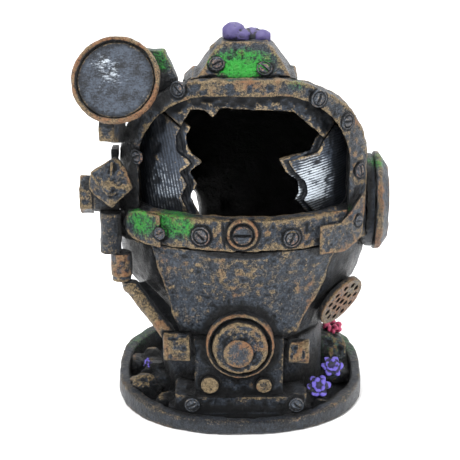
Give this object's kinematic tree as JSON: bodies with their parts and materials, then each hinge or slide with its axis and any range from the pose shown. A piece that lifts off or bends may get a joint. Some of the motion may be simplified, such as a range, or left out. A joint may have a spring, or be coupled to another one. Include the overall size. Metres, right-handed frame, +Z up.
{
  "type": "bubbling aquarium ornament",
  "caption": "Hollow cast diver's helmet ornament on an oval tray, with broken window, lamp, valve and regulator details, a swim-through hole, air inlet and air stone.",
  "frame": {"origin": "middle of the tray's flat underside", "axes": "+Z up, the window faces -Y, +X towards the side port"},
  "size_m": [0.0939, 0.0749, 0.1204],
  "materials": {
    "charcoal_resin": "cast resin, charcoal base coat, lightly dry-brushed tan",
    "drybrushed_resin": "cast resin, charcoal base coat, heavily dry-brushed gold-tan",
    "rust_resin": "cast resin, dry-brushed tan and rust orange",
    "black_washed_resin": "cast resin with a dark wash in its lines",
    "slate_resin": "cast resin, worn slate blue paint",
    "algae_resin": "cast resin, bright green algae paint over charcoal",
    "silver_glass_resin": "silver dry-brushed resin over charcoal, scratched",
    "smoked_glass_resin": "dark resin, faint grey brushing",
    "purple_coral": "matt purple paint",
    "pink_coral_paint": "matt pink paint",
    "silicone": "soft black silicone",
    "clear_acrylic": "moulded translucent plastic",
    "blue_air_stone": "bonded mineral grain, open pores"
  },
  "bodies": {
    "ornament": {"base_tray": "charcoal_resin", "neck": "charcoal_resin", "front_block": "charcoal_resin", "helmet_shell": "charcoal_resin", "window_hood": "charcoal_resin", "window_frame": "drybrushed_resin", "frame_screws": "black_washed_resin", "lower_bar": "drybrushed_resin", "bar_left_end": "algae_resin", "bar_right_end": "rust_resin", "bar_rivets": "black_washed_resin", "centre_screw": "rust_resin", "glass_left": "silver_glass_resin", "glass_right": "silver_glass_resin", "glass_top": "smoked_glass_resin", "crown_cap": "algae_resin", "crown_screws": "black_washed_resin", "crown_corals": "purple_coral", "chin_panel": "drybrushed_resin", "lamp_housing": "drybrushed_resin", "lamp_bezel": "rust_resin", "lamp_lens": "silver_glass_resin", "lamp_upper_lug": "drybrushed_resin", "lamp_lower_lug": "drybrushed_resin", "regulator_ring": "rust_resin", "regulator_cover": "drybrushed_resin", "purge_button": "slate_resin", "left_clamp": "drybrushed_resin", "right_clamp": "drybrushed_resin", "block_pegs": "drybrushed_resin", "base_rivets": "black_washed_resin", "valve_body": "charcoal_resin", "valve_cap": "drybrushed_resin", "valve_knob": "drybrushed_resin", "side_lug": "charcoal_resin", "down_pipe": "charcoal_resin", "pipe_union": "rust_resin", "diagonal_tube": "drybrushed_resin", "side_port_neck": "charcoal_resin", "side_port_ring": "rust_resin", "side_port_glass": "silver_glass_resin", "exhaust_neck": "charcoal_resin", "exhaust_plate": "rust_resin", "weed_mound": "algae_resin", "tray_rocks": "charcoal_resin", "purple_flowers": "purple_coral", "purple_bud": "purple_coral", "pink_coral": "pink_coral_paint", "inlet_grommet": "silicone", "air_elbow": "clear_acrylic"},
    "air_stone": {"air_stone": "blue_air_stone"},
    "air_connector": {"air_connector": "clear_acrylic"}
  },
  "joints": [
    {"name": "air_stone_lift", "type": "slide", "parent": "ornament", "child": "air_stone", "axis": [0, 0, 1], "range_m": [0, 0.012]},
    {"name": "air_connector_pull", "type": "slide", "parent": "ornament", "child": "air_connector", "axis": [0, 1, 0], "range_m": [0, 0.018]}
  ]
}
